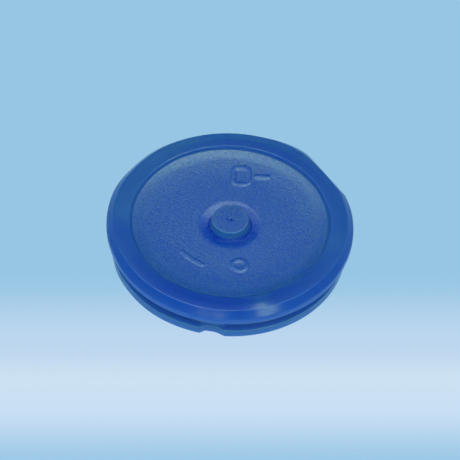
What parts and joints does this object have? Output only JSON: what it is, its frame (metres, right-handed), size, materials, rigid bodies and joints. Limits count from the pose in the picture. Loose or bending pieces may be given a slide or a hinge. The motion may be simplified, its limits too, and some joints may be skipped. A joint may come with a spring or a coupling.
{
  "type": "cap insert",
  "caption": "Round colour-coding insert with a grained panel, rolled rim, central gate pip and a snap skirt that presses into a micro tube's screw cap.",
  "frame": {"origin": "centre of the skirt's foot, on the plane it stands on", "axes": "+Z along the disc's axis, out of the grained face; the break in the snap ring is at the -Y side"},
  "size_m": [0.01, 0.01, 0.0018],
  "materials": {
    "blue_plastic": "translucent blue plastic, taken to be polypropylene, with fine grain on the panel and a glossy rim and skirt"
  },
  "bodies": {
    "root": {"cap_insert": "blue_plastic"}
  },
  "joints": []
}
